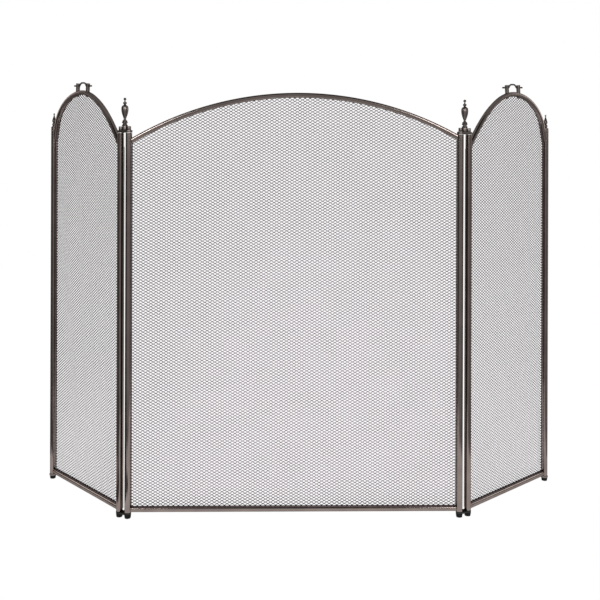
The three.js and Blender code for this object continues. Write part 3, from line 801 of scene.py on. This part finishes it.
def add_post_ends(panel, prefix, x):
    """Cap, pin head and foot of a hinge post. The plugs and pins inside stay as they are."""
    place = (x, 0, 0)
    cap_bottom = HINGE_POST_TOP + FIT
    cap_ends = [(0, 0, cap_bottom), (0, 0, cap_bottom + CAP_THICKNESS)]
    # The cap plate's pale finish is a painted highlight line on top of the post.
    cap = bar("cap", cap_ends, POST_SIZE, POST_SIZE, POST_CORNER, PAINTED_HIGHLIGHT_CAP)
    outward(cap)
    panel.piece(f"{prefix}_cap", cap, PAINTED_HIGHLIGHT_CAP, "steel_hardware", f"{prefix}_post_cap", at=place)
    seat = TOP_BAR_TOP + FIT
    head = turned(rounded_disc(
        PIN_HEAD_RADIUS, seat, seat + PIN_HEAD_HEIGHT, PIN_HEAD_EDGE, PIN_HEAD_LOW_EDGE,
    ))
    panel.piece(f"{prefix}_pin_head", head, HARDWARE, "steel_hardware", f"{prefix}_top_pin", at=place)
    panel.piece(f"{prefix}_rubber", foot(), RUBBER, "rubber_foot", f"{prefix}_foot", at=place)


# --- Handle --------------------------------------------------------------------------------------


def wing_arch_point(reach):
    """The point of a wing's arch at a distance from the hinge post's axis."""
    line = [wing_arch(i / SEARCH_STEPS) for i in range(SEARCH_STEPS + 1)]
    return min(line, key=lambda point: abs(point[0] - reach))


def handle_stud():
    """A stud from inside the arch up, with a slightly wider head."""
    seat = RAIL_SIZE / 2 - STUD_SINK
    top = RAIL_SIZE / 2 + STUD_HEIGHT
    return turned([
        (0, seat),
        (STUD_RADIUS - STUD_WAIST, seat),
        (STUD_RADIUS - STUD_WAIST, top - STUD_HEAD),
        *arc(STUD_RADIUS - STUD_EDGE, top - STUD_EDGE, STUD_EDGE, 0, 90, 4),
        (0, top),
    ])


def add_handle(panel):
    """Two studs on the arch, square to it, and a bowed wire through them, just under their heads."""
    half = STUD_SPACING / 2
    feet = [wing_arch_point(HANDLE_FROM_HINGE + end * half) for end in (-1, 1)]
    ends = sorted((panel.side * x, z) for x, z in feet)
    along = Vector((ends[1][0] - ends[0][0], 0, ends[1][1] - ends[0][1])).normalized()
    middle = Vector(((ends[0][0] + ends[1][0]) / 2, RAIL_SETBACK, (ends[0][1] + ends[1][1]) / 2))
    turn = Matrix((along, (0, 1, 0), Vector(along).cross((0, 1, 0)))).transposed().to_4x4()
    place = panel.place @ Matrix.Translation(middle * MM) @ turn
    wire_height = RAIL_SIZE / 2 + STUD_HEIGHT - WIRE_DROP
    for end in (-1, 1):
        where = "outer" if end == panel.side else "inner"
        stud_place = place @ Matrix.Translation((end * half * MM, 0, 0))
        finish_piece(f"{panel.name}_handle_{where}_post", handle_stud(), stud_place, CASTING, panel.body,
                     [f"{panel.name}_handle_{where}_stud"])
    reach = half + WIRE_OVERHANG
    bow_half = half - STUD_RADIUS - BOW_INSET
    line = []
    for i in range(2 * WIRE_STEPS + 1):
        x = reach * (i / WIRE_STEPS - 1)
        lift = BOW_RISE * (1 - min(1, abs(x) / bow_half) ** BOW_FLATNESS) ** BOW_EASE
        line.append((x, 0, wire_height + lift))
    thickness = 2 * WIRE_RADIUS
    wire = bar("wire", line, thickness, thickness, WIRE_RADIUS * WIRE_ROUNDING, HARDWARE, facets=5)
    outward(wire)
    finish_piece(f"{panel.name}_handle_wire", wire, place, HARDWARE, panel.body,
                 [f"{panel.name}_handle_bar"])


# --- The screen ----------------------------------------------------------------------------------


def stadium(reach):
    """Outline of a hinge bar from a pivot at the origin to one at the reach along x."""
    low, high = sorted((0, reach))
    right_end = arc(high, 0, BAR_HALF_WIDTH, -90, 90, BAR_END_STEPS)
    return right_end + arc(low, 0, BAR_HALF_WIDTH, 90, 270, BAR_END_STEPS)


def add_hinge(name, side, start, end):
    """Top and bottom bar between two posts, with the urn finial on the middle of the top one."""
    reach = side * (node_middle(end) - node_middle(start)).to_2d().length / MM
    place = panel_place(start, end, side)
    body = f"{name}_link"
    for label, bottom, top, material in (
        ("top", TOP_BAR_BOTTOM, TOP_BAR_TOP, CASTING),
        # The bottom bar is cast like the top one; its near-black finish is painted shade.
        ("bottom", BOTTOM_BAR_BOTTOM, BOTTOM_BAR_TOP, STRIP_BLACK_AND_PAINTED_SHADE),
    ):
        mesh = plate(stadium(reach), bottom, top, BAR_EDGE)
        finish_piece(f"{name}_{label}_link", mesh, place, material, body,
                     [f"{name}_hinge_{label}_bar"])
    finial_place = place @ Matrix.Translation((reach / 2 * MM, 0, 0))
    finish_piece(f"{name}_urn_finial", large_finial(), finial_place, CASTING, body,
                 [f"{name}_hinge_finial"])


def build_centre():
    panel = Panel("centre", "centre_panel", "centre_left_post", "centre_right_post", 1,
                  CENTRE_SPAN, centre_arch)
    for name, x in (("centre_left", 0), ("centre_right", CENTRE_SPAN)):
        add_post(panel, x, f"{name}_tube", HINGE_POST_TOP, f"{name}_post")
        add_post_ends(panel, name, x)
    add_rails(panel, "centre_arch_rail", "centre_bottom_rail")
    add_cloth(panel, "centre_mesh", 3)
    add_strip(panel, POST_SIZE / 2 + STRIP_PAST_POST)


def build_wing(name, side):
    hinge_post = f"{name}_wing_hinge_post"
    outer_post = f"{name}_wing_outer_post"
    panel = Panel(name, f"{name}_wing", hinge_post, outer_post, side, WING_SPAN, wing_arch)
    outer = side * WING_SPAN
    outer_place = (outer, 0, 0)
    add_post(panel, 0, f"{name}_hinge_tube", HINGE_POST_TOP, hinge_post)
    add_post(panel, outer, f"{name}_outer_tube", OUTER_POST_TOP, outer_post)
    add_post_ends(panel, f"{name}_wing", 0)
    add_rails(panel, f"{name}_wing_arch_rail", f"{name}_wing_bottom_rail")
    add_cloth(panel, f"{name}_wing_mesh", 1)
    add_strip(panel, STRIP_WIDTH / 2)
    panel.piece(f"{name}_small_finial", small_finial(), CASTING, "cast_fitting",
                f"{name}_wing_outer_finial", at=outer_place)
    flange = turned(rounded_disc(FLANGE_RADIUS, BOTTOM_BAR_BOTTOM, BOTTOM_BAR_TOP, FLANGE_EDGE))
    panel.piece(f"{name}_flange", flange, CASTING, "cast_fitting", f"{name}_wing_foot_flange",
                at=outer_place)
    panel.piece(f"{name}_outer_rubber", foot(), RUBBER, "rubber_foot", f"{name}_wing_outer_foot",
                at=outer_place)
    add_handle(panel)


build_centre()
for name, side in (("left", -1), ("right", 1)):
    build_wing(name, side)
    add_hinge(name, side, f"centre_{name}_post", f"{name}_wing_hinge_post")

CAD_FINISHES = {
    "tube_plug": PLUG,
    "steel_hardware": HARDWARE,
    "rubber_foot": RUBBER,
    "cast_fitting": CASTING,
}
for part in frame["record"]["subparts"]:
    if part["material_slot"] in CAD_FINISHES:
        holder = frame["nodes"][part["node"]]
        holder.data.materials.clear()
        holder.data.materials.append(CAD_FINISHES[part["material_slot"]])


# --- Stage ---------------------------------------------------------------------------------------

CAMERA_SENSOR = 36
CAMERA_LENS = 48.9
CAMERA_SHIFT = -1 / 6
CAMERA_FROM_MIDDLE = (-21.4, -1654.2, 0)
CAMERA_HEIGHT = 644.3
CAMERA_LOOKS_ALONG = (0.0189, 0.9998, 0)
CAMERA_ROLL = 0.2

FLOOR_HALF = 6  # the stage is in metres from here on
FLOOR_HEIGHT = -0.0005
FLOOR_SHADE = 0.8
FLOOR_GLOW = 1.02
FLOOR_GLOW_SHARE = 0.97  # the rest is lit by the lamps and takes the screen's shadow
DRAPE_STEP = 6  # degrees
FLOOR_CLOTH_RIM = 0.46
CURTAIN_RIM = 0.75
CURTAIN_REACH = 2.6
CURTAIN_FOOT = 0.004
CARD_FOOT = 0.98
CARD_TOP = 1.5
CURTAIN_TOP = 2.6
CEILING_HEIGHT = 3.4
CEILING_HOLE = 0.01

WORLD_LIGHT = 0.6
SOFTBOX_ASIDE = 1
SOFTBOX_BEFORE = -2.25
SOFTBOX_HEIGHT = 1.45
SOFTBOX_AIM = (0, 0, 0.6)
SOFTBOX_SIZE = (0.5, 0.6)
SOFTBOX_POWER = 11


def place_camera():
    """Camera before the screen, a little left of its middle, level but for a slight roll."""
    middle = (node_middle("centre_left_post") + node_middle("centre_right_post")) / 2
    data = bpy.data.cameras.new("camera")
    data.sensor_width = CAMERA_SENSOR
    data.lens = CAMERA_LENS
    data.shift_y = CAMERA_SHIFT
    camera = new_object("camera", data)
    camera.location = middle + Vector(CAMERA_FROM_MIDDLE) * MM
    camera.location.z = CAMERA_HEIGHT * MM
    level = Vector(CAMERA_LOOKS_ALONG).to_track_quat("-Z", "Y").to_matrix()
    roll = Matrix.Rotation(math.radians(CAMERA_ROLL), 3, "Z")
    camera.rotation_euler = (level @ roll).to_euler()
    bpy.context.scene.camera = camera


def seen_ray(tree):
    """1 for rays from the camera, off metal or through glass, and 0 for the rest."""
    ray = tree.add("ShaderNodeLightPath")
    shine = ray["Is Glossy Ray"] + ray["Is Transmission Ray"]
    seen = tree.add("ShaderNodeMath", {"operation": "ADD", "use_clamp": True},
                    {0: ray["Is Camera Ray"], 1: shine})
    return seen[0]


def glow_shader(tree, strength):
    """White light of a given strength."""
    return tree.add("ShaderNodeEmission", None, {"Color": (1, 1, 1, 1), "Strength": strength})[0]


def pale_floor():
    """White to the camera and in reflections, and shaded where the screen keeps light off."""
    material = bpy.data.materials.new("pale floor")
    tree = empty_tree(material)
    share = seen_ray(tree) * FLOOR_GLOW_SHARE
    matt = tree.add("ShaderNodeBsdfDiffuse", None, {"Color": grey(FLOOR_SHADE)})
    glow = glow_shader(tree, FLOOR_GLOW)
    mixed = tree.add("ShaderNodeMixShader", None, {"Fac": share, 1: matt["BSDF"], 2: glow})
    tree.add("ShaderNodeOutputMaterial", None, {"Surface": mixed["Shader"]})
    return material


def stage_piece(name, points, faces, material):
    """A piece of the studio, which isn't part of the screen."""
    mesh = new_mesh(name, points, faces)
    mesh.materials.append(material)
    piece = new_object(name, mesh)
    return piece


def drape(name, profile, start, end, level):
    """Grey cloth hung round the screen, which only shows in the metal: a (reach, height) profile in
    metres, turned between two angles in degrees."""
    cloth = bpy.data.materials.new(name)
    tree = empty_tree(cloth)
    tree.add("ShaderNodeOutputMaterial", None, {"Surface": glow_shader(tree, level)})
    steps = math.ceil((end - start) / DRAPE_STEP)
    points = []
    for step in range(steps + 1):
        angle = math.radians(start + (end - start) * step / steps)
        x, y = math.cos(angle), math.sin(angle)
        points += [(reach * x, reach * y, height) for reach, height in profile]
    row = len(profile)
    corners = [row * step + edge for step in range(steps) for edge in range(row - 1)]
    faces = [(corner, corner + 1, corner + row + 1, corner + row) for corner in corners]
    piece = stage_piece(name, points, faces, cloth)
    piece.visible_camera = False
    piece.visible_diffuse = False
    piece.visible_shadow = False
    piece.visible_transmission = False


def build_stage():
    """Pale floor, and what the metal mirrors: a dark cloth on the floor's left, grey curtains round the
    front and sides, a white card to each side behind the wings, and a ceiling that is dark to the
    front. Angles run anticlockwise from the screen's right, with the front at -90 degrees."""
    corners = ((-1, -1), (1, -1), (1, 1), (-1, 1))
    floor = [(x * FLOOR_HALF, y * FLOOR_HALF, FLOOR_HEIGHT) for x, y in corners]
    stage_piece("floor", floor, [(0, 1, 2, 3)], pale_floor())
    floor_cloth = [(FLOOR_CLOTH_RIM, CURTAIN_FOOT), (CURTAIN_RIM, CURTAIN_FOOT)]
    hem = [(CURTAIN_RIM, CURTAIN_FOOT), (CURTAIN_REACH, CURTAIN_FOOT)]
    wall = [*hem, (CURTAIN_REACH, CURTAIN_TOP)]
    low_wall = [*hem, (CURTAIN_REACH, CARD_FOOT)]
    card = [(CURTAIN_REACH, CARD_FOOT), (CURTAIN_REACH, CARD_TOP)]
    ceiling = [
        (CURTAIN_REACH, CURTAIN_TOP),
        (CURTAIN_REACH, CEILING_HEIGHT),
        (CEILING_HOLE, CEILING_HEIGHT),
    ]
    drape("left rear low curtain", low_wall, -215, -201, 0.28)
    drape("left white card", card, -215, -201, 3)
    drape("left rear curtain", wall, -201, -180, 0.28)
    drape("left floor cloth", floor_cloth, -174, -136, 0.11)
    drape("left curtain", wall, -180, -122, 0.11)
    drape("front curtain", wall, -122, -58, 0.42)
    drape("right curtain", wall, -58, 0, 0.27)
    drape("right rear curtain", wall, 0, 11, 0.4)
    drape("right white card", card, 11, 30, 3)
    drape("right rear low curtain", low_wall, 11, 30, 0.4)
    drape("dark front ceiling", ceiling, -150, -30, 0.02)
    drape("grey back ceiling", ceiling, -30, 210, 0.4)


def softbox(name, place):
    """A rectangular lamp in metres, turned to the middle of the screen."""
    data = bpy.data.lights.new(name, "AREA")
    data.shape = "RECTANGLE"
    data.size, data.size_y = SOFTBOX_SIZE
    data.energy = SOFTBOX_POWER
    holder = new_object(name, data)
    holder.location = place
    aim = Vector(SOFTBOX_AIM) - Vector(place)
    holder.rotation_euler = aim.to_track_quat("-Z", "Y").to_euler()


def light_studio():
    """A plain world, which is white to the camera and in reflections, and two softboxes before the
    screen."""
    world = bpy.data.worlds.new("studio")
    tree = empty_tree(world)
    strength = seen_ray(tree) * (1 - WORLD_LIGHT) + WORLD_LIGHT
    sky = tree.add("ShaderNodeBackground", None, {"Color": (1, 1, 1, 1), "Strength": strength})
    tree.add("ShaderNodeOutputWorld", None, {"Surface": sky["Background"]})
    bpy.context.scene.world = world
    for name, side in (("left", -1), ("right", 1)):
        softbox(f"{name} softbox", (side * SOFTBOX_ASIDE, SOFTBOX_BEFORE, SOFTBOX_HEIGHT))


place_camera()
build_stage()
light_studio()
bpy.context.scene.view_settings.view_transform = "Standard"
